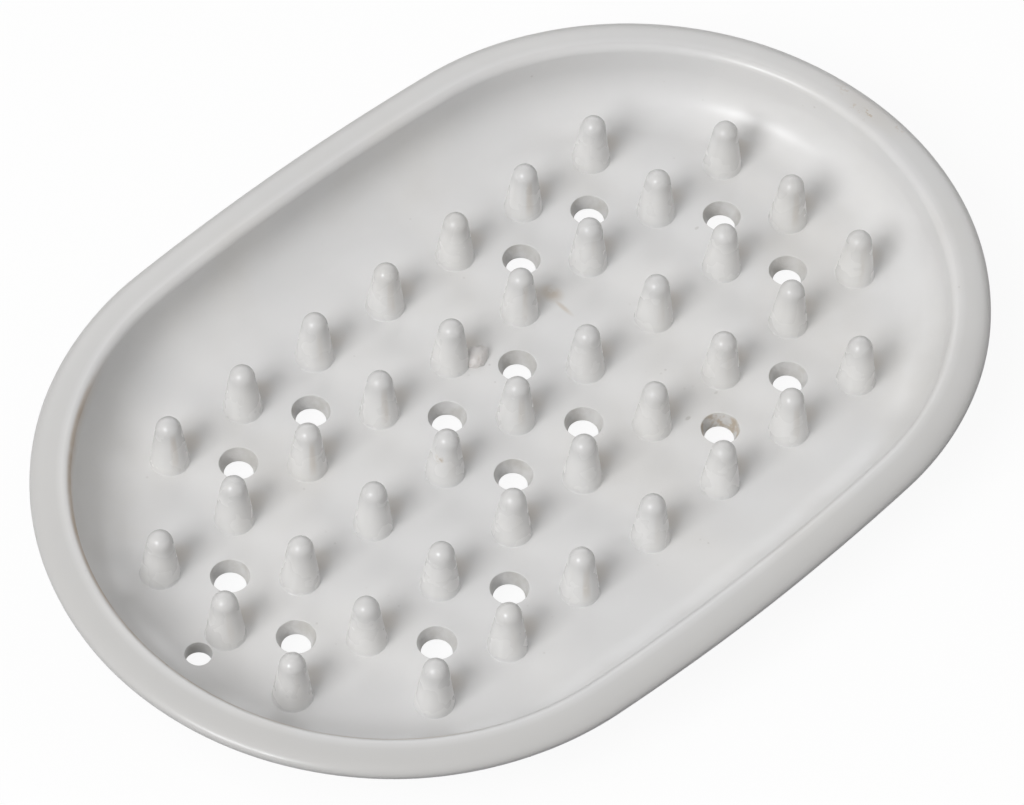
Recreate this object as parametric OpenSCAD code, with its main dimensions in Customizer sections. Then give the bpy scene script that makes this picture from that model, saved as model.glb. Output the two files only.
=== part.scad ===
// Oval soap dish, moulded in one go from soft grey rubber. A perforated floor stands on
// low feet and sweeps up into a wall with a rolled rim. Tapered pegs hold the bar clear
// of the water, which runs out through the floor.
// Millimetres. The origin is on the surface that the dish stands on, under its middle.
// The long axis is X, and the hanging hole is at its negative end.
// The moulding is split where its regions meet: floor, wall, rim, pegs and feet.

/* [Outline] */
// Length over the rim
length = 130; // [112:1:150]
// Width over the rim
width = 89; // [76:0.5:100]
// How much smaller the radius of the ends is than half the width
end_ease = 0.8; // [0.4:0.05:3]
// Height of the rim above the floor
depth = 9.3; // [9:0.1:14]

/* [Shell] */
// Thickness of the floor and the wall
shell_t = 2.2; // [1.6:0.1:2.8]
// Inner radius of the sweep from the floor into the wall
sweep_r = 6.5; // [5:0.1:7.2]
// Lean of the wall away from upright, in degrees
draft = 6; // [2:1:12]

/* [Rim] */
// Width of the rim, from its outer edge to the crease inside it
rim_w = 5; // [4:0.1:7]
// Thickness of the rim
rim_t = 2.3; // [2.3:0.1:3]
// Radius of the roll on the rim's outer edge
roll_r = 1.1; // [0.8:0.1:1.2]
// Radius under the roll
lip_r = 1; // [0.2:0.1:1]
// Radius of the crease between the rim and the wall
crease_r = 1.1; // [0.3:0.1:1.5]

/* [Pegs] */
// Distance from peg to peg, along and across
pitch = 12; // [10:0.5:13]
// Height of a peg above the floor
peg_h = 8; // [4:0.5:9]
// Radius of a peg where it meets the floor
peg_base_r = 2.5; // [2.2:0.1:3]
// Radius of a peg's round tip
peg_tip_r = 1.6; // [1:0.1:2]

/* [Drain holes] */
// Radius of a drain hole at the top of the floor
drain_top_r = 2.4; // [2:0.1:3]
// Radius of a drain hole at the underside
drain_low_r = 1.9; // [1:0.1:2]

/* [Hanging hole] */
// Radius of the hole that the dish hangs from
hang_r = 1.65; // [1.2:0.05:2]
// Distance from the end of the flat floor to the middle of the hole
hang_inset = 0.8; // [0.4:0.1:2]
// Least gap between the hanging hole and a peg or drain hole
hang_gap = 0.1; // [0:0.05:1]

/* [Feet] */
// Height of a foot
foot_h = 1.5; // [1:0.1:3]
// Radius of a foot
foot_r = 3.2; // [2:0.1:4]

/* [Hidden] */

// How far a cut runs past the face that it opens
overrun = 0.5;
// Tilt of the sweep where the floor ends and the wall begins, in degrees
split_tilt = 20;
// Places of the drain holes in one quarter of the floor, as shares of the pitch
drain_shares = [[0.5, 0.5], [3.5, 0.5], [1.5, 1.5], [2.5, 1.5]];
rubber_grey = [0.79, 0.785, 0.77];
peg_grey = [0.83, 0.825, 0.81];

// Sides of a full circle on the small round parts
round_fn = 48;
// Steps along one end arc and one side arc of the outline
end_steps = 40;
side_steps = 6;
// Steps in the sweep above the split, in its part below, and in the small arcs
wall_steps = 8;
curl_steps = 3;
arc_steps = 6;

// The outline is a four-centre oval: two end arcs and two long, flat side arcs that
// meet without a corner
half_l = length / 2;
half_w = width / 2;
end_r = half_w - end_ease;
end_x = half_l - end_r;
side_r = end_r + end_ease / 2 + end_x * end_x / (2 * end_ease);
side_y = side_r - half_w;
end_half_angle = atan2(side_y, end_x);

// Heights of the floor's two faces above the surface it stands on
floor_low_z = foot_h;
floor_z = floor_low_z + shell_t;
// Height of the rim's seat on the wall, above the floor
seat_z = depth - rim_t;
// Distance in from the outer edge to the line where the flat floor ends
toe = rim_w + sweep_r * cos(draft) + (depth - sweep_r + sweep_r * sin(draft)) * tan(draft);
// Rows of pegs to each side of the middle
half_cols = floor((half_l - toe - peg_base_r) / pitch);
half_rows = floor((half_w - toe - peg_base_r) / pitch);
hang_x = half_l - toe - hang_inset;
// Radius that a drain hole loses for each millimetre of depth
drain_slope = (drain_top_r - drain_low_r) / shell_t;
// The feet stand under the outermost pegs
foot_row = floor((half_w - toe - foot_r) / pitch);
foot_col = max([for (i = [0:half_cols]) if (inset(i * pitch, foot_row * pitch) >= foot_r) i]);

// Distance from a point on the floor out to the end of the flat, positive inside
function inset(x, y) =
    atan2(abs(y), abs(x) - end_x) < end_half_angle
    ? end_r - toe - norm([abs(x) - end_x, y])
    : side_r - toe - norm([x, abs(y) + side_y]);

// Points along an arc of a profile
function arc(centre, r, from, to, steps) =
    [for (k = [0:steps]) centre + r * [cos(from + (to - from) * k / steps),
                                       sin(from + (to - from) * k / steps)]];

// Points on the sweep from floor to wall, by its tilt: 0 at the floor, and growing
function sweep_arc(r, from, to, steps) =
    arc([toe, sweep_r], r, -90 - from, -90 - to, steps);
function reversed(points) = [for (k = [1:len(points)]) points[len(points) - k]];

// Distance in from the outer edge of the wall's straight face, at height z
function wall_in(r, z) = toe - r * cos(draft) - (z - sweep_r + r * sin(draft)) * tan(draft);

// Whether a round thing of radius r fits on the flat floor, clear of the hanging hole
function fits(x, y, r) =
    inset(x, y) >= r && norm([x + hang_x, y]) >= r + hang_r + hang_gap;

// Stations along the outline, each as the centre and radius of its arc and its angle
function arc_stations(centre, r, from, to, steps) =
    [for (k = [0:steps - 1]) [centre, r, from + (to - from) * k / steps]];
stations = concat(
    arc_stations([end_x, 0], end_r, -end_half_angle, end_half_angle, end_steps),
    arc_stations([0, -side_y], side_r, end_half_angle, 180 - end_half_angle, side_steps),
    arc_stations([-end_x, 0], end_r, 180 - end_half_angle, 180 + end_half_angle, end_steps),
    arc_stations([0, side_y], side_r, 180 + end_half_angle, 360 - end_half_angle, side_steps));

// The point of a profile at a station. A profile point is its distance in from the
// outer edge and its height.
function placed(station, point) =
    let (spot = station[0] + (station[1] - point[0]) * [cos(station[2]), sin(station[2])])
    [spot[0], spot[1], point[1]];

// Carries a profile around the outline. A closed profile gives a ring. An open one starts
// on the top face and ends on the underside, and flat faces fill the middle of both.
module around_oval(profile, closed) {
    rows = len(stations);
    steps = len(profile);
    spots = [for (station = stations) each [for (point = profile) placed(station, point)]];
    strips = [for (row = [0:rows - 1], k = [0:closed ? steps - 1 : steps - 2])
        [row * steps + k,
         row * steps + (k + 1) % steps,
         (row + 1) % rows * steps + (k + 1) % steps,
         (row + 1) % rows * steps + k]];
    caps = closed ? [] : [
        [for (row = [0:rows - 1]) (rows - 1 - row) * steps],
        [for (row = [0:rows - 1]) row * steps + steps - 1]];
    polyhedron(spots, concat(strips, caps));
}

// One drain hole, which narrows downwards
module drain_hole() {
    translate([0, 0, floor_low_z - overrun])
        cylinder(r1 = drain_low_r - drain_slope * overrun,
                 r2 = drain_top_r + drain_slope * overrun,
                 h = shell_t + 2 * overrun, $fn = round_fn);
}

module floor_plate() {
    color(rubber_grey)
        difference() {
            translate([0, 0, floor_z])
                around_oval(concat(
                    sweep_arc(sweep_r, 0, split_tilt, curl_steps),
                    reversed(sweep_arc(sweep_r + shell_t, 0, split_tilt, curl_steps))), false);
            for (share = drain_shares, sx = [-1, 1], sy = [-1, 1]) {
                x = sx * share[0] * pitch;
                y = sy * share[1] * pitch;
                if (fits(x, y, drain_top_r))
                    translate([x, y, 0])
                        drain_hole();
            }
            translate([-hang_x, 0, floor_low_z - overrun])
                cylinder(r = hang_r, h = shell_t + 2 * overrun, $fn = round_fn);
        }
}

module wall() {
    color(rubber_grey)
        translate([0, 0, floor_z])
            around_oval(concat(
                sweep_arc(sweep_r, split_tilt, 90 - draft, wall_steps),
                [[wall_in(sweep_r, seat_z), seat_z],
                 [wall_in(sweep_r + shell_t, seat_z), seat_z]],
                reversed(sweep_arc(sweep_r + shell_t, split_tilt, 90 - draft, wall_steps))), true);
}

module rim() {
    // The crease's small arc touches the top face and the drafted inner face
    crease_x = rim_w - crease_r * (1 - sin(draft)) / cos(draft);
    color(rubber_grey)
        translate([0, 0, floor_z])
            around_oval(concat(
                [[wall_in(sweep_r, seat_z), seat_z]],
                arc([crease_x, depth - crease_r], crease_r, draft, 90, arc_steps),
                arc([roll_r, depth - roll_r], roll_r, 90, 180, arc_steps),
                arc([lip_r, seat_z + lip_r], lip_r, 180, 270, arc_steps)), true);
}

// One peg: a cone that runs smoothly into a round tip
module peg() {
    tip_z = peg_h - peg_tip_r;
    lean = acos(peg_tip_r / norm([peg_base_r, tip_z])) - atan2(tip_z, peg_base_r);
    rotate_extrude($fn = round_fn)
        polygon(concat(
            [[0, 0], [peg_base_r, 0]],
            arc([0, tip_z], peg_tip_r, lean, 90, arc_steps)));
}

module pegs() {
    color(peg_grey)
        for (i = [-half_cols:half_cols], j = [-half_rows:half_rows])
            if (fits(i * pitch, j * pitch, peg_base_r))
                translate([i * pitch, j * pitch, floor_z])
                    peg();
}

module feet() {
    color(rubber_grey)
        for (i = [-1, 0, 1], j = [-1, 1])
            translate([i * foot_col * pitch, j * foot_row * pitch, 0])
                cylinder(r = foot_r, h = foot_h, $fn = round_fn);
}

floor_plate();  // floor
wall();
rim();
pegs();
feet();
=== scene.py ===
# %% [markdown]
# # A moulded rubber soap dish
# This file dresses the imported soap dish: it stands one modelled skin over each of the
# part's five regions, gives them a worn satin rubber, and lights them as on a plain
# white table. Everything is in metres, in the part's own frame: the dish stands on
# z = 0, its long axis is X, and its hanging hole is at the negative end.

import bpy
import numpy as np
from mathutils import Euler, Matrix, geometry


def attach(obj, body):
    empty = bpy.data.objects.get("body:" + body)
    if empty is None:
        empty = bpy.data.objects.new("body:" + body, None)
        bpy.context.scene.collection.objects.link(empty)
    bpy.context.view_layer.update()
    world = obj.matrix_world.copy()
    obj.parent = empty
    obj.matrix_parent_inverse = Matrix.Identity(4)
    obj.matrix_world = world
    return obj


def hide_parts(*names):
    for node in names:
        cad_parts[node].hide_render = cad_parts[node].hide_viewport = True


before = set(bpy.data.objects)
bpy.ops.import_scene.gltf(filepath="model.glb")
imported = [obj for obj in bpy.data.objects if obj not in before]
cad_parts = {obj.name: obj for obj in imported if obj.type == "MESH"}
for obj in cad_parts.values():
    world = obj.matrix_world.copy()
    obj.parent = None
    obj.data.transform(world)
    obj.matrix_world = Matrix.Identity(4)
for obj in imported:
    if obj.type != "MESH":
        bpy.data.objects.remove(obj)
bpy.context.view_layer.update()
print("frame nodes:", sorted(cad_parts))

# %% [markdown]
# ## The camera
# The view is a long lens from half a metre and more away, over one corner of the dish.
# A camera can be aimed with a constraint, but its place and three plain angles are
# easier to read: how far it tips up from straight down, how far it is turned about the
# vertical, and how far it leans sideways. It comes first, so that every later piece can
# be judged through it.

# %% Camera
MM = 0.001
photo_width_px = 1024
focal_px = 5276.9

lens = bpy.data.cameras.new("camera")
lens.sensor_width = 36
lens.lens = focal_px / photo_width_px * lens.sensor_width
camera = bpy.data.objects.new("camera", lens)
bpy.context.scene.collection.objects.link(camera)
tip, turn, lean = np.radians((36.866, -45.757, 3.042))
aim = Euler((tip, 0, turn)).to_matrix() @ Matrix.Rotation(lean, 3, "Z")
camera.location = (-0.28103, -0.27291, 0.52959)
camera.rotation_euler = aim.to_euler()
bpy.context.scene.camera = camera
print(f"camera: {lens.lens:.1f} mm lens")

# %% [markdown]
# ## Shader maths
# A finish is a small calculation on the surface: a stain is noise times a mask, a ring
# is a distance minus a radius. Adding nodes one by one hides that, so one class wraps
# an output socket and lets Python's signs add the Math nodes. Its make method adds any
# other node.


# %% Wires
class Wire:
    """An output socket. Its maths adds Math nodes, and make() adds any other node."""

    def __init__(self, tree, socket=None):
        self.tree = tree
        self.socket = socket

    def make(self, kind, settings=None, values=None, out=0):
        """Adds a node, makes its settings, fills its inputs and returns one output."""
        node = self.tree.nodes.new(kind)
        for name, value in (settings or {}).items():
            setattr(node, name, value)
        for name, value in (values or {}).items():
            if isinstance(value, Wire):
                self.tree.links.new(value.socket, node.inputs[name])
            else:
                node.inputs[name].default_value = value
        return Wire(self.tree, node.outputs[out] if node.outputs else None)

    def maths(self, operation, a, b=0.0):
        """Adds one Math node."""
        return self.make("ShaderNodeMath", {"operation": operation}, {0: a, 1: b})

    def __add__(self, other):
        return self.maths("ADD", self, other)

    def __rsub__(self, other):
        return self.maths("SUBTRACT", other, self)

    def __mul__(self, other):
        return self.maths("MULTIPLY", self, other)

    __radd__ = __add__
    __rmul__ = __mul__

    def most(self, other):
        """The greater of two values."""
        return self.maths("MAXIMUM", self, other)

    def noise(self, scale, detail=2.0, roughness=0.5):
        """Fractal noise of this vector, with detail as its count of octaves."""
        values = {"Vector": self, "Scale": scale, "Detail": detail, "Roughness": roughness}
        return self.make("ShaderNodeTexNoise", None, values)

    def off(self, centre_mm, size_mm):
        """How far this place is from the middle of an ellipsoid, with 1 on its surface."""
        centre, size = ([value * MM for value in triple] for triple in (centre_mm, size_mm))
        moved = self.make("ShaderNodeVectorMath", {"operation": "SUBTRACT"}, {0: self, 1: centre})
        scaled = self.make("ShaderNodeVectorMath", {"operation": "DIVIDE"}, {0: moved, 1: size})
        return self.make("ShaderNodeVectorMath", {"operation": "LENGTH"}, {0: scaled}, out=1)

    def stored(self, name):
        """A value that the mesh stores at its points."""
        return self.make("ShaderNodeAttribute", {"attribute_name": name}, out=2)

    def fade(self, low, high, to_low=0.0, to_high=1.0):
        """Runs smoothly from to_low to to_high while this wire goes from low to high."""
        settings = {"interpolation_type": "SMOOTHSTEP"}
        values = {"Value": self, "From Min": low, "From Max": high}
        values.update({"To Min": to_low, "To Max": to_high})
        return self.make("ShaderNodeMapRange", settings, values)

    def tint(self, below, above):
        """Mixes two colours, with this wire as the share of the second."""
        values = {0: self, 6: below, 7: above}
        return self.make("ShaderNodeMix", {"data_type": "RGBA"}, values, out=2)


# %% [markdown]
# ## The rubber
# The dish is a soft, pale grey rubber with a slight sheen. A flat grey would look like
# paper, so the colour drifts a little over a few millimetres, fine grey specks lie in
# it, and two scales of bump soften the reflections. Everything reads Object
# coordinates, so the pattern runs on across the pieces as it does on one moulding.


# %% Rubber
pale = (0.700, 0.699, 0.699, 1)
warm = (0.735, 0.731, 0.725, 1)
stained = (0.645, 0.631, 0.606, 1)
speck_grey = (0.330, 0.310, 0.285, 1)
# Brown for dirt, and also for the painted shadow beside each peg.
brown_dirt_and_shadow = (0.430, 0.330, 0.215, 1)
dull_and_shaded = (0.585, 0.580, 0.570, 1)
satin = (0.28, 0.34)
refraction = 1.43
specks_per_metre = 520.0
speck_share = 0.3
swell_height = 0.25
grain_height = 0.006
bump_distance = 0.0004


def rubber(name, dress=None, gloss=satin):
    """Rubber of a range of roughness. dress(wire, place, colour) adds the piece's own marks."""
    material = bpy.data.materials.new(name)
    material.use_nodes = True
    material.node_tree.nodes.clear()
    wire = Wire(material.node_tree)
    place = wire.make("ShaderNodeTexCoord", out=3)

    colour = place.noise(60).fade(0.35, 0.7).tint(pale, warm)
    colour = (place.noise(34, 4.0, 0.6).fade(0.52, 0.74) * 0.45).tint(colour, stained)
    cell = wire.make("ShaderNodeTexVoronoi", None, {"Vector": place, "Scale": specks_per_metre})
    sparse = place.noise(130, 1.0).fade(0.60, 0.70)
    speck = (1 - cell.fade(0.04, 0.13)) * sparse * speck_share
    colour = speck.tint(colour, speck_grey)
    if dress:
        colour = dress(wire, place, colour)
    height = place.noise(90, 1.0) * swell_height + place.noise(900, 2.0, 0.5) * grain_height
    bump = wire.make("ShaderNodeBump", None, {
        "Height": height, "Strength": 0.5, "Distance": bump_distance})
    roughness = place.noise(300).fade(0.3, 0.7, *gloss)
    shader = wire.make("ShaderNodeBsdfPrincipled", None, {
        "Base Color": colour, "Roughness": roughness, "Normal": bump, "IOR": refraction})
    wire.make("ShaderNodeOutputMaterial", None, {"Surface": shader})
    return material


# %% [markdown]
# ## The outline
# Seen from above, the dish is an oval of four arcs that meet without a corner. Wall and
# rim are one profile carried around it. A station is a place on the outline: the centre
# and radius of its arc, and its angle on it. A distance in from the outer edge then
# only shortens the radius, so the profile stays square to the outline all the way.

# %% Outline
length = 130.0
width = 89.0
end_ease = 0.8
end_steps = 96
side_steps = 24

end_r = width / 2 - end_ease
end_x = length / 2 - end_r
side_r = end_r + end_ease / 2 + end_x**2 / (2 * end_ease)
side_y = side_r - width / 2
end_turn = np.arctan2(side_y, end_x)


def arc_stations(centre, radius, start, end, steps):
    """Evenly spaced stations on one arc, as rows of centre x, centre y, radius, angle."""
    angle = np.linspace(start, end, steps, endpoint=False)
    same = np.ones(steps)
    return np.stack([centre[0] * same, centre[1] * same, radius * same, angle], axis=1)


stations = np.concatenate([
    arc_stations((end_x, 0), end_r, -end_turn, end_turn, end_steps),
    arc_stations((0, -side_y), side_r, end_turn, np.pi - end_turn, side_steps),
    arc_stations((-end_x, 0), end_r, np.pi - end_turn, np.pi + end_turn, end_steps),
    arc_stations((0, side_y), side_r, np.pi + end_turn, 2 * np.pi - end_turn, side_steps)])


def carry(profile):
    """Grid of stations by profile points: centre + (radius - distance in) * direction."""
    inn, up = np.array(profile).T
    out = stations[:, 2:3] - inn[None]
    x = stations[:, 0:1] + out * np.cos(stations[:, 3:4])
    y = stations[:, 1:2] + out * np.sin(stations[:, 3:4])
    return np.stack([x, y, np.broadcast_to(up, x.shape)], axis=2)


def arc(centre, radius, start, end, steps):
    """Points of a profile on an arc: centre + radius * (cos, sin), angles in degrees."""
    angle = np.radians(np.linspace(start, end, steps + 1))
    return np.stack([centre[0] + radius * np.cos(angle), centre[1] + radius * np.sin(angle)], axis=1)


print(f"outline: {len(stations)} stations, side arcs of {side_r:.0f} mm")

# %% [markdown]
# ## From grids to meshes
# A grid of points becomes quads by joining each point to its neighbours. A ring wraps
# round in both directions, a tube in one. A solid turned on an upright axis is a tube
# whose first and last ring shrink to one point each, closed by a fan of triangles.
# Whole arrays are worked out at once, because a loop over points is slow in Python.


# %% Grids
def quads(rows, cols, wrap_cols=True, first=0):
    """Quads of a grid whose rows wrap round: corners (r, c), (r+1, c), (r+1, c+1), (r, c+1)."""
    r, c = np.meshgrid(np.arange(rows), np.arange(cols if wrap_cols else cols - 1), indexing="ij")
    across, down = (c + 1) % cols, (r + 1) % rows
    corners = [r * cols + c, down * cols + c, down * cols + across, r * cols + across]
    return np.stack(corners, axis=2).reshape(-1, 4) + first


def turned(spot, profile, steps):
    """Rings around an upright axis: spot + radius * (cos, sin), at the profile's height."""
    angle = np.linspace(0, 2 * np.pi, steps, endpoint=False)[:, None]
    radius, up = np.array(profile).T
    x = spot[0] + radius * np.cos(angle)
    y = spot[1] + radius * np.sin(angle)
    return np.stack([x, y, np.broadcast_to(up, x.shape)], axis=2)


def poles_merged(grids):
    """Values of turned solids in which the first and the last ring are one point each."""
    kind = grids.shape[3:]
    inner = grids[:, :, 1:-1].reshape(len(grids), -1, *kind)
    merged = np.concatenate([inner, grids[:, :1, 0], grids[:, :1, -1]], axis=1)
    return merged.reshape(-1, *kind)


def closed_faces(count, rows, cols):
    """Faces of turned solids: quads between the poles, and a fan of triangles at each."""
    rings = cols - 2
    size = rows * rings + 2
    around = np.arange(rows) * rings
    after = np.roll(around, -1)
    first_pole = np.stack([np.full(rows, size - 2), after, around], axis=1)
    last_pole = np.stack([np.full(rows, size - 1), around + rings - 1, after + rings - 1], axis=1)
    one = [quads(rows, rings, wrap_cols=False), first_pole, last_pole]
    return [face for k in range(count) for part in one for face in part + k * size]


# %% [markdown]
# ## From a mesh to a piece
# One function makes every piece, so each gets the same care. Its points come in
# millimetres and are kept in metres. It rides on the part's one body, takes its
# material, and hides the node of the part that it stands for. Values such as the dirt in
# the crease are stored at the points, where a material can read them by name. Edges
# sharper than the limit are marked, so that the faces hidden in the seams don't bend the
# shading of the faces in sight. A volume above zero shows that a closed mesh has its faces outwards.


# %% Pieces
sharp_angle = np.radians(50)


def volume_cm3(mesh):
    """Volume inside a closed mesh: the sum of a . (b x c) / 6 over its triangles."""
    mesh.calc_loop_triangles()
    corners = np.empty(len(mesh.loop_triangles) * 3, np.int32)
    mesh.loop_triangles.foreach_get("vertices", corners)
    spots = np.empty(len(mesh.vertices) * 3, np.float32)
    mesh.vertices.foreach_get("co", spots)
    a, b, c = spots.astype(float).reshape(-1, 3)[corners].reshape(-1, 3, 3).transpose(1, 0, 2)
    return (a * np.cross(b, c)).sum() / 6 * 1e6


def make_piece(name, points, faces, material, node, attributes=None):
    """A smooth mesh from points in millimetres that stands for one node of the part."""
    mesh = bpy.data.meshes.new(name)
    mesh.from_pydata((points.reshape(-1, 3) * MM).tolist(), [], [f.tolist() for f in faces])
    for key, values in (attributes or {}).items():
        layer = mesh.attributes.new(key, "FLOAT", "POINT")
        layer.data.foreach_set("value", np.ravel(values).astype(np.float32))
    mesh.materials.append(material)
    mesh.shade_smooth()
    mesh.set_sharp_from_angle(angle=sharp_angle)
    piece = bpy.data.objects.new(name, mesh)
    bpy.context.scene.collection.objects.link(piece)
    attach(piece, "root")
    if node:
        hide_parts(node)
    print(f"{name}: {len(mesh.polygons)} faces, {volume_cm3(mesh):.2f} cm3")


# %% [markdown]
# ## The wall
# The wall leaves the floor in a wide sweep and leans out a little, so that the moulding
# comes out of its mould. Its profile is two arcs, one shell thickness apart, with a
# straight stretch above. The first steps of each arc are very short: a vertex at the
# end of a mesh takes its shading from one side only, and short steps make that side
# agree with the neighbour's.

# %% Wall profile
foot_h = 1.5
shell_t = 2.2
floor_z = foot_h + shell_t
depth = 9.3
sweep_r = 6.5
draft = 6.0
split_tilt = 20.0
short_step = 0.3
rim_w = 5.0
rim_t = 2.3
seat_z = depth - rim_t
lean_out = np.tan(np.radians(draft))
toe = rim_w + sweep_r * np.cos(np.radians(draft)) + (
    depth - sweep_r + sweep_r * np.sin(np.radians(draft))) * lean_out


def wall_in(radius, z):
    """Distance in from the outer edge of the leaning straight face at height z."""
    tilt = np.radians(draft)
    return toe - radius * np.cos(tilt) - (z - sweep_r + radius * np.sin(tilt)) * lean_out


def sweep(radius, start, end, steps):
    """The sweep between two tilts, 0 flat, with a short first and last step."""
    tilt = np.concatenate([
        [start, start + short_step], np.linspace(start, end, steps + 1)[1:-1], [end - short_step, end]])
    angle = np.radians(-90 - tilt)
    return np.stack([toe + radius * np.cos(angle), sweep_r + radius * np.sin(angle)], axis=1)


top_tilt = 90 - draft
wall_profile = np.concatenate([
    sweep(sweep_r, split_tilt, top_tilt, 20),
    [[wall_in(sweep_r, seat_z), seat_z], [wall_in(sweep_r + shell_t, seat_z), seat_z]],
    sweep(sweep_r + shell_t, split_tilt, top_tilt, 20)[::-1]]) + [0, floor_z]
wall_grid = carry(wall_profile)
wall_faces = quads(*wall_grid.shape[:2])[:, ::-1]
print(f"wall: leaves the flat {toe:.1f} mm in from the edge, {len(wall_profile)} profile points")

# %% [markdown]
# ## Dirt in the crease
# Dirt has settled as a brown line in the crease between wall and rim, at the end with the
# hanging hole. It could be painted in an image, but then the image would have to travel
# with the part. Here each point stores how near it is to the crease, and noise breaks the
# line up. The rim uses the same function, so the dirt runs on across the seam.

# %% Crease dirt
crease_brown = (0.470, 0.345, 0.225, 1)


def crease_dirt(wire, place, colour):
    """Brown dirt along the crease of the end that hangs uppermost, broken up by noise."""
    along = wire.make("ShaderNodeSeparateXYZ", None, {0: place}).fade(-0.034, -0.046)
    share = wire.stored("crease") * along * place.noise(260, 3.0).fade(0.3, 0.65, 0.45, 0.85)
    return share.tint(colour, crease_brown)


on_crease = np.where(np.abs(wall_profile[:, 1] - floor_z - seat_z) < 0.01, 0.2, 0.0)
on_crease[len(on_crease) // 2:] = 0
wall_marks = {"crease": np.broadcast_to(on_crease, wall_grid.shape[:2])}
wall_finish = rubber("rubber_wall", crease_dirt)
make_piece("wall_sweep", wall_grid, wall_faces, wall_finish, "wall", wall_marks)

# %% [markdown]
# ## The rim
# The rim is a flat band that rounds over towards its outer edge. A bevel would start
# with a clear line, which the real one doesn't show, so the rounding follows a
# superellipse. Inside, the rim turns down into the wall over a small arc. A soft moulding
# is never quite true, so three sines draw its edge in by a tenth of a millimetre at most.

# %% Rim profile
lip_r = 1.0
crease_r = 1.1
edge_drop = rim_t - lip_r
rim_fall = 0.15
roll_power = 3.5
edge_wave = 0.1
crease_x = rim_w - crease_r * (1 - np.sin(np.radians(draft))) / np.cos(np.radians(draft))


def roll(steps):
    """From the crease to the edge: out^power + (1 - drop)^2 = 1, on a slight slope."""
    turn_down = np.radians(np.linspace(0, 90, steps + 1))[1:]
    out = np.sin(turn_down) ** (2 / roll_power)
    down = rim_fall * out + (edge_drop - rim_fall) * (1 - np.cos(turn_down))
    return np.stack([crease_x * (1 - out), depth - down], axis=1)


rim_profile = np.concatenate([
    [[wall_in(sweep_r, seat_z), seat_z]],
    arc([crease_x, depth - crease_r], crease_r, draft, 90, 14),
    roll(24),
    arc([lip_r, seat_z + lip_r], lip_r, 180, 270, 12)[1:],
    [[wall_in(sweep_r + shell_t, seat_z) - 0.1, seat_z]]]) + [0, floor_z]


def wavy(grid, inn):
    """Draws the edge in by edge_wave * (1 + sum of three sines) / 2, and fades to the crease."""
    along = np.linspace(0, 2 * np.pi, len(grid), endpoint=False)
    sines = (np.sin(5 * along + 0.6) * 0.5 + np.sin(9 * along + 2.1) * 0.3
             + np.sin(16 * along + 4.0) * 0.2)
    drawn = edge_wave * (1 + sines)[:, None] / 2 * (1 - inn[None] / crease_x).clip(0)
    angle = stations[:, 3:4]
    return grid - np.stack([drawn * np.cos(angle), drawn * np.sin(angle), drawn * 0], axis=2)


rim_grid = wavy(carry(rim_profile), rim_profile[:, 0])
print(f"rim: {crease_x:.1f} mm from the edge to the crease, {len(rim_profile)} profile points")

# %% [markdown]
# ## The rim's wear and painted shade
# Dirt sits in the crease, and the outer part of the rim is duller where hands rub it.
# How dull it is also changes around the dish, darkest near the hanging hole and lightest
# at the other end: that change is painted shade, for light that falls unevenly on the rim.
# The other end has a cluster of brown specks, and there is one small nick. Wear and painted
# shade that follow the profile are stored at the points. What lies in one place is an
# ellipsoid in space: its middle, and its size each way.

# %% Rim wear
speckled_end = (62.8, 0.5, 13), (2.4, 8, 3)
nicked_spot = (-59.8, -3.3, 13), (0.5, 0.3, 1)
on_crease = np.zeros(len(rim_profile))
on_crease[0] = 0.2
on_crease[1:16] = np.interp(np.linspace(draft, 90, 15), [0, 15, 40, 62], [0.35, 0.9, 0.8, 0])


def rim_dirt_and_shade(wire, place, colour):
    """Wear and painted shade on the outer rim, the crease's dirt, a cluster of brown specks at the far
    end, and one nick.
    """
    # Wear and painted shade: the outer rim is painted duller, and more so near the hanging hole.
    colour = (wire.stored("wear_and_painted_shade") * 0.78).tint(colour, dull_and_shaded)
    colour = crease_dirt(wire, place, colour)
    patch = place.off(*speckled_end).fade(0.2, 1.0, 0.65, 0.0)
    grains = place.noise(1700, 2.0).fade(0.53, 0.64) * place.noise(420, 1.0).fade(0.4, 0.6) * patch
    colour = grains.most(patch * 0.16).tint(colour, brown_dirt_and_shadow)
    nick = place.off(*nicked_spot).fade(0.5, 1.0, 0.7, 0.0)
    return nick.tint(colour, speck_grey)


# Wear grows towards the outer edge; the cosine around the dish is painted shade, darkest near the
# hanging hole.
darkest_side_angle = np.radians(200)
wear_and_painted_shade = (1 - rim_profile[:, 0] / crease_x).clip(0) ** 0.2
wear_and_painted_shade = wear_and_painted_shade[None] * (1 + 0.35 * np.cos(stations[:, 3:4] - darkest_side_angle))
rim_marks = {"crease": np.broadcast_to(on_crease, rim_grid.shape[:2]), "wear_and_painted_shade": wear_and_painted_shade}
rim_faces = quads(*rim_grid.shape[:2])[:, ::-1]
rim_finish = rubber("rubber_rim", rim_dirt_and_shade)
make_piece("rim_band", rim_grid, rim_faces, rim_finish, "rim", rim_marks)

# %% [markdown]
# ## The holes
# Sixteen drain holes and the smaller hanging hole go through the floor. Cutting them with
# booleans leaves untidy shading at their edges. Here each hole is a turned profile: a
# small round at the top, a tapered wall with the faint rings of the mould's pin, and a
# small round below. The hanging hole reaches into the sweep, so its rings rise with it.

# %% Holes
pitch = 12.0
drain_top_r = 2.4
drain_low_r = 1.9
hang_r = 1.65
hang_inset = 0.8
hang_x = length / 2 - toe - hang_inset
edge_r = 0.11
rim_of_hole = edge_r + 0.2
ring_depth = 0.024
ring_count = 9
drain_shares = np.array([[0.5, 0.5], [3.5, 0.5], [1.5, 1.5], [2.5, 1.5]])
hole_steps = 64

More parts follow.
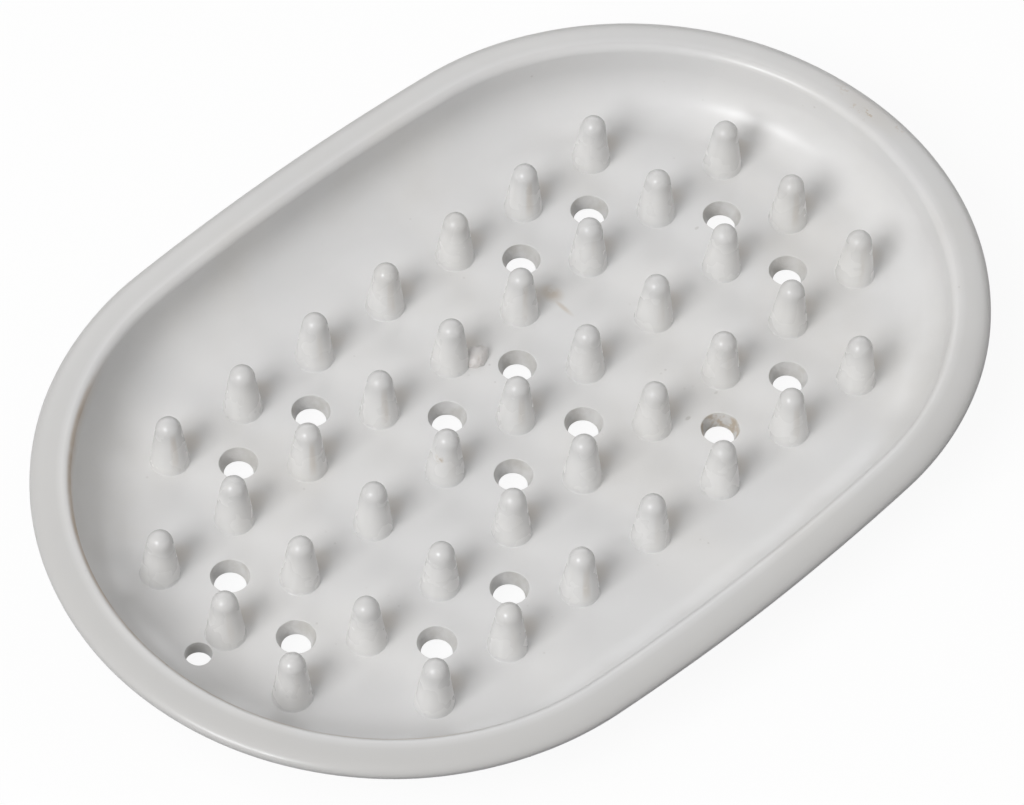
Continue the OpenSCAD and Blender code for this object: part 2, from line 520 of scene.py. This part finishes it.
signs = np.array([[sx, sy] for sx in (-1, 1) for sy in (-1, 1)])
drains = (drain_shares[:, None] * signs[None]).reshape(-1, 2) * pitch
hole_spots = np.concatenate([drains, [[-hang_x, 0]]])
hole_tops = np.append(np.full(len(drains), drain_top_r), hang_r)
low_shift = np.random.default_rng(11).uniform(-0.12, 0.1, len(drains))
hole_lows = np.append(drain_low_r + low_shift, hang_r)


def past_toe(x, y):
    """How far a point lies past the line where the flat ends: 0 or less on the flat."""
    on_end = np.arctan2(np.abs(y), np.abs(x) - end_x) < end_turn
    from_end = np.hypot(np.abs(x) - end_x, y) - end_r
    from_side = np.hypot(x, np.abs(y) + side_y) - side_r
    return np.where(on_end, from_end, from_side) + toe


def lift(x, y, radius):
    """How far the sweep of that radius has risen: radius - sqrt(radius^2 - past^2)."""
    past = past_toe(x, y).clip(0)
    return radius - np.sqrt(radius**2 - past**2)


def hole(spot, top_r, low_r):
    """A turned hole whose height is blended between the floor's two faces around it."""
    fall = np.linspace(0, 1, 37)
    ripple = ring_depth * np.sin(fall * ring_count * 2 * np.pi) * fall * (1 - fall) * 4
    middle = np.stack([top_r + (low_r - top_r) * fall + ripple,
                       -edge_r - (shell_t - 2 * edge_r) * fall], axis=1)
    profile = np.concatenate([
        [[top_r + rim_of_hole, 0]],
        arc([top_r + edge_r, -edge_r], edge_r, 90, 180, 5)[:-1],
        middle,
        arc([low_r + edge_r, edge_r - shell_t], edge_r, 180, 270, 5)[1:],
        [[low_r + rim_of_hole, -shell_t]]])
    grid = turned(spot, profile, hole_steps)
    share = -grid[..., 2] / shell_t
    above, below = (lift(grid[..., 0], grid[..., 1], r) for r in (sweep_r, sweep_r + shell_t))
    grid[..., 2] += above * (1 - share) + below * share
    return grid


holes = np.stack([hole(*facts) for facts in zip(hole_spots, hole_tops, hole_lows)])
hole_count, hole_cols, hole_rows = holes.shape[:3]
print(f"holes: {hole_count}, {hole_lows.min():.2f} to {hole_lows.max():.2f} mm in radius below")

# %% [markdown]
# ## The floor's two faces
# The floor is a flat sheet whose edge begins the sweep. Each of its faces is filled with
# triangles between the outline and the rings of the holes, by a Delaunay triangulation
# that keeps the edges it is given, and the triangles across the holes are left out. The
# points on the edge are the wall's own, so the two pieces meet point for point.


# %% Faces of the floor
clear_of_hole = 0.15


def face_of_floor(radius, hole_edge, hole_radii):
    """One face: rows of points along its rising edge, the holes' rings, and triangles."""
    tilt = np.concatenate([[split_tilt, split_tilt - short_step], np.linspace(split_tilt, 0, 9)[1:]])
    inn = toe - radius * np.sin(np.radians(tilt))
    rows = carry(np.stack([np.append(inn, [toe + 0.3, toe + 0.9]), np.zeros(len(inn) + 2)], axis=1))
    rows = rows.transpose(1, 0, 2).reshape(-1, 3)
    gap = np.linalg.norm(rows[:, None, :2] - hole_spots[None], axis=2) - hole_radii[None]
    rows = rows[(gap.min(axis=1) > clear_of_hole) | (np.arange(len(rows)) < len(stations))]
    points = np.concatenate([rows, hole_edge.reshape(-1, 3)])
    loop = np.arange(len(stations))
    edges = [np.stack([loop, np.roll(loop, -1)], axis=1)]
    for k in range(hole_count):
        ring = len(rows) + k * hole_steps + np.arange(hole_steps)
        edges.append(np.stack([ring, np.roll(ring, -1)], axis=1))
    flat = points[:, :2].tolist()
    found = geometry.delaunay_2d_cdt(flat, np.concatenate(edges).tolist(), [], 0, 1e-7)
    origin = np.array([o[0] for o in found[3]])
    triangles = origin[np.array(found[2])]
    middle = points[triangles, :2].mean(axis=1)
    gap = np.linalg.norm(middle[:, None] - hole_spots[None], axis=2) - hole_radii[None]
    a, b, c = (points[triangles[:, k], :2] for k in range(3))
    turn = (b - a)[:, 0] * (c - a)[:, 1] - (b - a)[:, 1] * (c - a)[:, 0]
    triangles[turn < 0] = triangles[turn < 0][:, ::-1]
    rows[:, 2] = lift(rows[:, 0], rows[:, 1], radius)
    return rows, triangles[gap.min(axis=1) > 0]


top_rows, top_triangles = face_of_floor(sweep_r, holes[:, :, 0], hole_tops + rim_of_hole)
low_rows, low_triangles = face_of_floor(
    sweep_r + shell_t, holes[:, :, -1], hole_lows + rim_of_hole)
low_rows[:, 2] -= shell_t
print(f"faces of the floor: {len(top_triangles)} and {len(low_triangles)} triangles")

# %% [markdown]
# ## The floor as one mesh
# The two faces, the holes and the cut edge become one closed mesh. The faces use the
# points of the holes' own rings: their numbers are turned into those of the whole mesh,
# so no points have to be merged afterwards.

# %% Floor mesh
floor_points = np.concatenate([holes.reshape(-1, 3), top_rows, low_rows]) + [0, 0, floor_z]
hole_size = hole_cols * hole_rows
top_first = hole_count * hole_size
low_first = top_first + len(top_rows)


def joined(triangles, rows, first, row):
    """Turns a face's own numbering into that of the whole floor."""
    ring = triangles - len(rows)
    on_hole = ring // hole_steps * hole_size + ring % hole_steps * hole_rows + row
    return np.where(ring < 0, triangles + first, on_hole)


seam = np.arange(len(stations))
seam_next = np.roll(seam, -1)
cut_face = np.stack([
    top_first + seam, low_first + seam, low_first + seam_next, top_first + seam_next], axis=1)
floor_faces = list(joined(top_triangles, top_rows, top_first, 0))
floor_faces += list(joined(low_triangles, low_rows, low_first, hole_rows - 1)[:, ::-1])
floor_faces += list(cut_face)
for k in range(hole_count):
    floor_faces += list(quads(hole_cols, hole_rows, wrap_cols=False, first=k * hole_size))
print(f"floor: {len(floor_points)} points")

# %% [markdown]
# ## The floor's dirt and painted shade
# The walls of the holes are darkened, partly by grime and partly by painted shade. Beside
# every peg, where its shadow falls, a brown patch is painted shadow that deepens it. The
# pegs stand on an even grid, so space is wrapped to one cell of it, and a single patch
# serves them all. One hole is crusted, and a smear and a few dark specks lie on the floor.

# %% Floor dirt
hole_grime_and_shade = (0.440, 0.420, 0.380, 1)
peg_field = (3.2, 0.6, floor_z), (57, 33, 10)
peg_shadow_spot = (3.2, 0.6, floor_z), (2.9, 2.2, 1)
crusted_hole = (18, -18, 2.4), (2.75, 2.75, 4)
smear_spot = (17.1, 11.4, floor_z), (1.7, 2.1, 1)
trail_spot = (16.6, 8.8, floor_z), (0.5, 2.4, 1)
floor_specks = [(16.1, -14.2, 0.55, 0.4), (38.2, 6.7, 0.45, 0.3), (21.5, -13.7, 0.4, 0.25)]
in_hole = np.zeros((hole_count, hole_cols, hole_rows))
in_hole[:, :, 4:-1] = 1
floor_marks = {"in_hole": np.append(in_hole.ravel(), np.zeros(len(top_rows) + len(low_rows)))}


def floor_dirt_and_shade(wire, place, colour):
    """Grime and painted shade in the holes, painted shadow beside every peg, one crusted hole, a smear
    and small specks.
    """
    # Grime and painted shade: the walls of the holes are painted darker, where shade falls in them.
    grime_and_shade = wire.stored("in_hole") * place.noise(420, 3.0).fade(0.35, 0.7, 0.1, 0.5)
    colour = grime_and_shade.tint(colour, hole_grime_and_shade)
    # Painted shadow: a brown patch beside each peg, on the side away from the key lamp, deepens the
    # peg's shadow.
    half = pitch / 2 * MM
    limits = {0: place, 1: (half, half, 1), 2: (-half, -half, -1)}
    from_peg = wire.make("ShaderNodeVectorMath", {"operation": "WRAP"}, limits)
    has_peg = place.off(*peg_field).fade(0.99, 1.03, 1.0, 0.0)
    painted_peg_shadow = from_peg.off(*peg_shadow_spot).fade(0.2, 1.0, 0.24, 0.0) * has_peg
    colour = (painted_peg_shadow * place.noise(300, 2.0).fade(0.2, 0.6, 0.6, 1.0)).tint(colour, brown_dirt_and_shadow)
    crust = place.off(*crusted_hole).fade(0.86, 1.0, 0.6, 0.0)
    colour = (crust * place.noise(900, 3.0).fade(0.42, 0.62)).tint(colour, brown_dirt_and_shadow)
    smear = place.off(*smear_spot).fade(0.1, 1.0, 0.5, 0.0)
    trail = place.off(*trail_spot).fade(0.1, 1.0, 0.4, 0.0)
    colour = (smear.most(trail) * place.noise(600, 3.0).fade(0.3, 0.55, 0.3, 1.0)).tint(colour, brown_dirt_and_shadow)
    for x, y, size, share in floor_specks:
        spot = place.off((x, y, floor_z), (size, size * 0.6, 1)).fade(0.4, 1.0, share, 0.0)
        colour = spot.tint(colour, speck_grey)
    return colour


floor_finish = rubber("rubber_floor", floor_dirt_and_shade)
make_piece("floor_sheet", floor_points, floor_faces, floor_finish, "floor", floor_marks)

# %% [markdown]
# ## The pegs
# Forty-one tapered pegs keep the bar out of the water. Each is a cone that runs smoothly
# into a round tip, with a small fillet where it meets the floor. A copied cone would do,
# but on a soft moulding no two stand quite alike, so each is worked out by itself and
# leans by a seeded trifle.

# %% Peg shapes
peg_h = 8.0
peg_base_r = 2.5
peg_tip_r = 1.6
root_depth = 0.5
peg_steps = 48
seed = np.random.default_rng(7)

tip_z = peg_h - peg_tip_r
slant = np.degrees(
    np.arccos(peg_tip_r / np.hypot(peg_base_r, tip_z)) - np.arctan2(tip_z, peg_base_r))


def peg_profile(fillet):
    """A hidden root, a fillet between floor and cone, and the round tip of the cone."""
    run = fillet * np.tan(np.radians(90 - slant) / 2)
    return np.concatenate([
        [[0, -root_depth], [peg_base_r + run - 0.1, -root_depth]],
        arc([peg_base_r + run, fillet], fillet, 270, 180 + slant, 8),
        arc([0, tip_z], peg_tip_r, slant, 90, 14)[:-1],
        [[0, peg_h]]])


half_cols, half_rows = 4, 2
cells = np.array([
    [i, j] for i in range(-half_cols, half_cols + 1) for j in range(-half_rows, half_rows + 1)
    if abs(i) < half_cols or abs(j) < half_rows])
peg_spots = cells * pitch
to_hang = np.linalg.norm(peg_spots + [hang_x, 0], axis=1)
fillets = np.where(to_hang < pitch / 2, 0.08, seed.uniform(0.06, 0.14, len(cells)))
lean_by = seed.normal(0, 0.008, (len(cells), 2))
luck = seed.uniform(0, 1, len(cells)) ** 3

peg_points = np.stack([
    turned(spot, peg_profile(r), peg_steps) for spot, r in zip(peg_spots, fillets)])
up = peg_points[..., 2:3].clip(0)
peg_points[..., :2] += lean_by[:, None, None] * up
peg_points[..., 2] += floor_z
print(f"pegs: {len(cells)}, {peg_h:.0f} mm high, {pitch:.0f} mm apart")

# %% [markdown]
# ## The pegs' finish and painted light
# The flanks of the pegs are painted paler than the floor, as painted light for the glow of
# light through the soft rubber, and their tips are painted darker, as painted shade that
# tones down their lit tops. Some pegs have a faint brown streak down one side, and one has
# a dirty patch. How far up and how far round each point lies is stored with it, so one
# finish fits every peg.

# %% Peg finish
flank_painted_light = (0.790, 0.785, 0.772, 1)
tip_painted_shade = (0.600, 0.596, 0.588, 1)
peg_gloss = (0.25, 0.29)
dirty_patch = (-14.2, -0.9, 8.7), (0.9, 1.2, 1.6)
streak_side = np.radians(-112)
from_streak = np.cos(np.linspace(0, 2 * np.pi, peg_steps, endpoint=False) - streak_side)
peg_marks = {
    "peg_up": up[..., 0] / peg_h,
    "peg_side": np.broadcast_to(from_streak[None, :, None], peg_points.shape[:3]),
    "peg_luck": np.broadcast_to(luck[:, None, None], peg_points.shape[:3])}
peg_marks = {name: poles_merged(values) for name, values in peg_marks.items()}


def peg_dirt_and_painted_light(wire, place, colour):
    """Painted light on the flanks, painted shade on the tip, a faint brown streak on some pegs, and one
    dirty patch.
    """
    # Painted light: the flanks are paler, for light that glows through the soft rubber.
    flank_light_share = wire.stored("peg_up").fade(0.0, 0.15) * wire.stored("peg_up").fade(0.5, 0.95, 0.5, 0.0)
    colour = flank_light_share.tint(colour, flank_painted_light)
    # Painted shade: the tips are darker, to tone down how brightly their tops are lit.
    colour = (wire.stored("peg_up").fade(0.6, 1.0) * 0.4).tint(colour, tip_painted_shade)
    drawn = wire.make("ShaderNodeVectorMath", {"operation": "MULTIPLY"}, {0: place, 1: (1, 1, 0.12)})
    colour = (drawn.noise(900, 2.0).fade(0.5, 0.75) * 0.12).tint(colour, stained)
    band = wire.stored("peg_up").fade(0.0, 0.4) * wire.stored("peg_up").fade(0.7, 0.95, 1.0, 0.0)
    side = wire.stored("peg_side").fade(0.95, 1.0) * band * wire.stored("peg_luck")
    colour = (side * drawn.noise(700, 3.0).fade(0.3, 0.7, 0.05, 0.3)).tint(colour, brown_dirt_and_shadow)
    patch = place.off(*dirty_patch).fade(0.5, 1.0, 0.9, 0.0)
    return (patch * place.noise(900, 2.0).fade(0.4, 0.6)).tint(colour, brown_dirt_and_shadow)


peg_faces = closed_faces(*peg_points.shape[:3])
peg_finish = rubber("rubber_pegs", peg_dirt_and_painted_light, peg_gloss)
make_piece("pegs_set", poles_merged(peg_points), peg_faces, peg_finish, "pegs", peg_marks)

# %% [markdown]
# ## A lump of flash
# A small blob of rubber was left beside one peg when the dish was moulded. It is a
# flattened ball pushed about by smooth sines, sunk a little into the floor.

# %% Flash
flash_spot = (2.85, 10.3, floor_z + 0.1)
flash_pink = (0.68, 0.64, 0.62, 1)
flash_size = np.array([1.75, 1.45, 1.5])
flash_steps = 64
flash_rings = 49
around = np.linspace(0, 2 * np.pi, flash_steps, endpoint=False)
turn_by, rise = np.meshgrid(around, np.radians(np.linspace(-90, 90, flash_rings)), indexing="ij")
level = np.cos(rise)
lumps = 1 + level**2 * (
    0.08 * np.sin(2 * turn_by + 1) + 0.06 * np.sin(3 * turn_by + 4 * rise)
    + 0.035 * np.sin(7 * turn_by + 6 * rise) + 0.02 * np.sin(11 * turn_by - 9 * rise))
flash_grid = np.stack([level * np.cos(turn_by), level * np.sin(turn_by), np.sin(rise)], axis=2)
flash_grid *= lumps[..., None] * flash_size


def flash_tone(wire, place, colour):
    """A light pinkish grey with faint brown mottling."""
    pinkish = place.noise(500, 3.0).fade(0.3, 0.7, 0.2, 0.7).tint(colour, flash_pink)
    return (place.noise(900, 2.0).fade(0.5, 0.75) * 0.2).tint(pinkish, brown_dirt_and_shadow)


flash_grid += flash_spot
flash_faces = closed_faces(1, flash_steps, flash_rings)
flash_finish = rubber("rubber_flash", flash_tone)
make_piece("flash_lump", poles_merged(flash_grid[None]), flash_faces, flash_finish, None)

# %% [markdown]
# ## The feet
# Low round feet under the outermost pegs lift the drain holes off the table. Their
# lower edge is rounded, as on anything that comes out of a soft mould.

# %% Feet
foot_r = 3.2
foot_round = 0.45
foot_root = foot_h + 0.3
foot_profile = np.concatenate([
    [[0, 0]],
    arc([foot_r - foot_round, foot_round], foot_round, -90, 0, 8),
    [[foot_r, foot_root], [0, foot_root]]])
foot_spots = np.array([[i * 3 * pitch, j * 2 * pitch] for i in (-1, 0, 1) for j in (-1, 1)])
foot_grids = np.stack([turned(spot, foot_profile, peg_steps) for spot in foot_spots])
foot_faces = closed_faces(*foot_grids.shape[:3])
make_piece("feet_set", poles_merged(foot_grids), foot_faces, rubber("rubber_feet"), "feet")

# %% [markdown]
# ## The table
# The dish stands on a plain table. To the camera and in reflections it is white, but to
# the light it is nearly black, so that it throws no glare back at the object.

# %% Stage
stage_mesh = bpy.data.meshes.new("table")
reach = 3.0
corners = [(-reach, -reach, 0), (reach, -reach, 0), (reach, reach, 0), (-reach, reach, 0)]
stage_mesh.from_pydata(corners, [], [(0, 1, 2, 3)])
table = bpy.data.objects.new("table", stage_mesh)
bpy.context.scene.collection.objects.link(table)


def as_background(wire):
    """1 for a ray from the camera or off a glossy or clear surface, 0 for light on the object."""
    kinds = ("Is Camera Ray", "Is Glossy Ray", "Is Transmission Ray")
    camera_ray, glossy, through = (wire.make("ShaderNodeLightPath", out=kind) for kind in kinds)
    return camera_ray.most(glossy).most(through)


white = bpy.data.materials.new("table_white")
white.use_nodes = True
white.node_tree.nodes.clear()
wire = Wire(white.node_tree)
glow_share = 0.93
seen = as_background(wire)
card_tone = seen.tint((0.10, 0.10, 0.12, 1), (1, 1, 1, 1))
card = wire.make("ShaderNodeBsdfDiffuse", None, {"Color": card_tone})
glow = wire.make("ShaderNodeEmission", None, {"Color": (1, 1, 1, 1), "Strength": 1.0})
surface = wire.make("ShaderNodeMixShader", None, {0: seen * glow_share, 1: card, 2: glow})
wire.make("ShaderNodeOutputMaterial", None, {"Surface": surface})
stage_mesh.materials.append(white)

# %% [markdown]
# ## The room
# The world does the same as the table: white to look at, and a faint warm light on the
# object.

# %% Room
world = bpy.data.worlds.new("room")
bpy.context.scene.world = world
world.use_nodes = True
world.node_tree.nodes.clear()
wire = Wire(world.node_tree)
room = wire.make("ShaderNodeBackground", None, {"Color": (1, 0.96, 0.92, 1), "Strength": 0.12})
plain = wire.make("ShaderNodeBackground", None, {"Color": (1, 1, 1, 1), "Strength": 1.0})
surface = wire.make("ShaderNodeMixShader", None, {0: as_background(wire), 1: room, 2: plain})
wire.make("ShaderNodeOutputWorld", None, {"Surface": surface})

# %% [markdown]
# ## The lamps
# Soft boxes stand around the dish, each given by its direction, its size as seen from
# the dish and its brightness. The key at the left end throws the soft shadows of the
# pegs. Two more are seen in reflections only: a small one as the bright spot on each peg
# and a wide one as the sheen along the far rim.

# %% Lamps
lamp_distance = 1.5
cool = (0.955, 0.97, 1.0)
plain_white = (1, 1, 1)


def soft_box(name, azimuth, elevation, height, radiance, wide=1.0, lights=True, reflects=False):
    """A lamp that looks at the dish, sized per metre of distance: power = radiance * area * pi."""
    lamp = bpy.data.lights.new(name, "AREA")
    lamp.shape = "RECTANGLE"
    lamp.size = height * wide * lamp_distance
    lamp.size_y = height * lamp_distance
    lamp.energy = radiance * lamp.size * lamp.size_y * np.pi
    lamp.color = cool if reflects else plain_white
    box = bpy.data.objects.new(name, lamp)
    bpy.context.scene.collection.objects.link(box)
    turn_to, rise_to = np.radians((azimuth, elevation))
    towards = (np.cos(rise_to) * np.cos(turn_to), np.cos(rise_to) * np.sin(turn_to), np.sin(rise_to))
    box.location = lamp_distance * np.array(towards)
    box.rotation_euler = box.location.to_track_quat("Z", "Y").to_euler()
    box.visible_camera = False
    box.visible_diffuse = lights
    box.visible_glossy = reflects
    print(f"{name}: {lamp.energy:.1f} W")


soft_box("key", 186, 41, 0.44, 9.35)
soft_box("above", 200, 67, 0.54, 1.6)
soft_box("above_left", 150, 60, 0.54, 1.1)
soft_box("far_end", 0, 41, 0.5, 1.05)
soft_box("far_left", 60, 38, 0.5, 0.7)
soft_box("low_left", 150, 18, 0.5, 1.0)
soft_box("low_far", 95, 18, 0.5, 0.5)
soft_box("low_right", 298, 38, 0.5, 1.15)
soft_box("glint", 185, 41, 0.22, 22, wide=1.5, lights=False, reflects=True)
soft_box("backdrop", 44, 35, 0.5, 1.9, wide=2.6, lights=False, reflects=True)

bpy.context.scene.view_settings.view_transform = "Standard"
